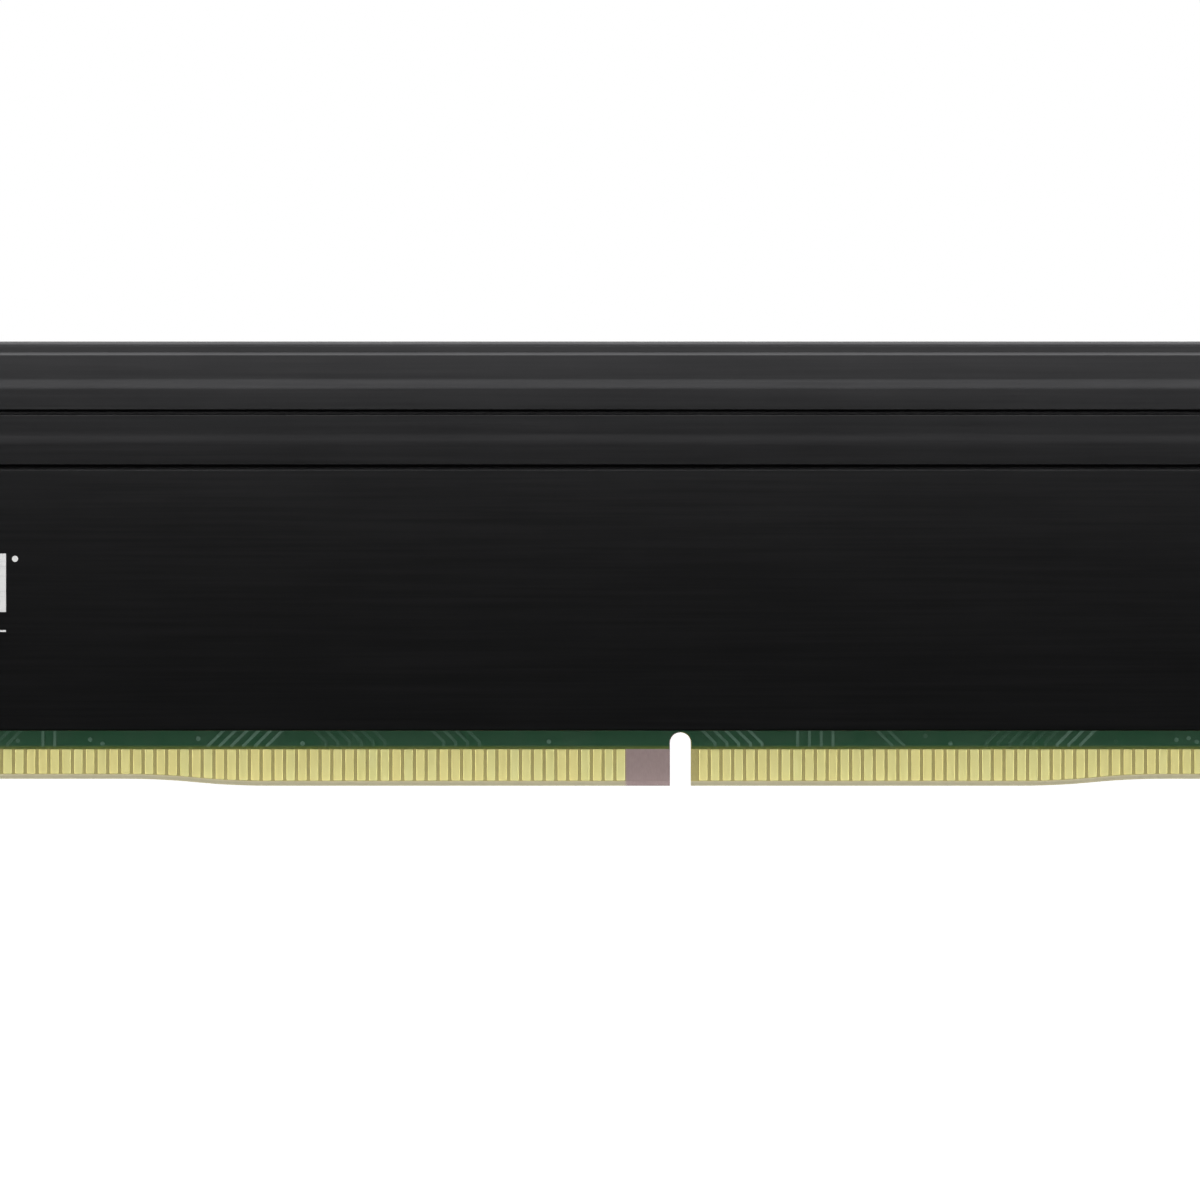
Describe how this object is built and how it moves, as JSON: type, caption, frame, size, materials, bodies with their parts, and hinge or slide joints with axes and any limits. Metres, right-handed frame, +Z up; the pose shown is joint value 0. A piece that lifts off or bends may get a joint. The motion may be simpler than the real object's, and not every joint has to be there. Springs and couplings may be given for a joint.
{
  "type": "desktop memory module",
  "caption": "Long thin memory module: a green circuit board with gold edge contacts and a key notch, between two dark ribbed metal heat spreader halves.",
  "frame": {"origin": "middle of the lowest edge of the board, on its mid-plane, where the edge meets the floor of its socket", "axes": "+X along the board towards contact 144, -Y out of the front, +Z up, away from the socket"},
  "size_m": [0.1334, 0.0064, 0.032],
  "materials": {
    "anodised_aluminium": "dark grey anodised, brushed along its length",
    "solder_mask": "green solder mask over glass-epoxy laminate, bare around the contacts",
    "gold_contact": "hard gold plate over nickel and copper",
    "black_mould": "black epoxy mould compound, satin",
    "chip_laminate": "green package laminate",
    "solder": null,
    "tinned_metal": "tin plate, satin",
    "resistor_body": "black glaze over alumina",
    "capacitor_ceramic": "tan ceramic",
    "thermal_pad": "soft grey silicone pad",
    "label_film": "plain silver-white film",
    "white_ink": "white pad-printed ink"
  },
  "bodies": {
    "root": {"pcb": "solder_mask", "spd_eeprom": "black_mould", "spd_eeprom_leads": "tinned_metal", "front_emblem": "white_ink", "rear_label": "label_film", "termination_resistors": "resistor_body", "termination_resistors_terminals": "tinned_metal", "supply_capacitors": "capacitor_ceramic", "supply_capacitors_terminals": "tinned_metal", "contacts_front_long_row": "gold_contact", "contacts_front_short_row": "gold_contact", "heat_spreader_front": "anodised_aluminium", "thermal_pad_front": "thermal_pad", "chip_substrates_front": "chip_laminate", "solder_balls_front": "solder", "data_resistors_front": "resistor_body", "data_resistors_front_terminals": "tinned_metal", "decoupling_capacitors_front": "capacitor_ceramic", "decoupling_capacitors_front_terminals": "tinned_metal", "calibration_resistors_front": "resistor_body", "calibration_resistors_front_terminals": "tinned_metal", "contacts_rear_long_row": "gold_contact", "contacts_rear_short_row": "gold_contact", "heat_spreader_rear": "anodised_aluminium", "thermal_pad_rear": "thermal_pad", "chip_substrates_rear": "chip_laminate", "solder_balls_rear": "solder", "data_resistors_rear": "resistor_body", "data_resistors_rear_terminals": "tinned_metal", "decoupling_capacitors_rear": "capacitor_ceramic", "decoupling_capacitors_rear_terminals": "tinned_metal", "calibration_resistors_rear": "resistor_body", "calibration_resistors_rear_terminals": "tinned_metal", "memory_chip_front_1": "black_mould", "memory_chip_front_2": "black_mould", "memory_chip_front_3": "black_mould", "memory_chip_front_4": "black_mould", "memory_chip_front_5": "black_mould", "memory_chip_front_6": "black_mould", "memory_chip_front_7": "black_mould", "memory_chip_front_8": "black_mould", "memory_chip_rear_1": "black_mould", "memory_chip_rear_2": "black_mould", "memory_chip_rear_3": "black_mould", "memory_chip_rear_4": "black_mould", "memory_chip_rear_5": "black_mould", "memory_chip_rear_6": "black_mould", "memory_chip_rear_7": "black_mould", "memory_chip_rear_8": "black_mould"}
  },
  "joints": []
}
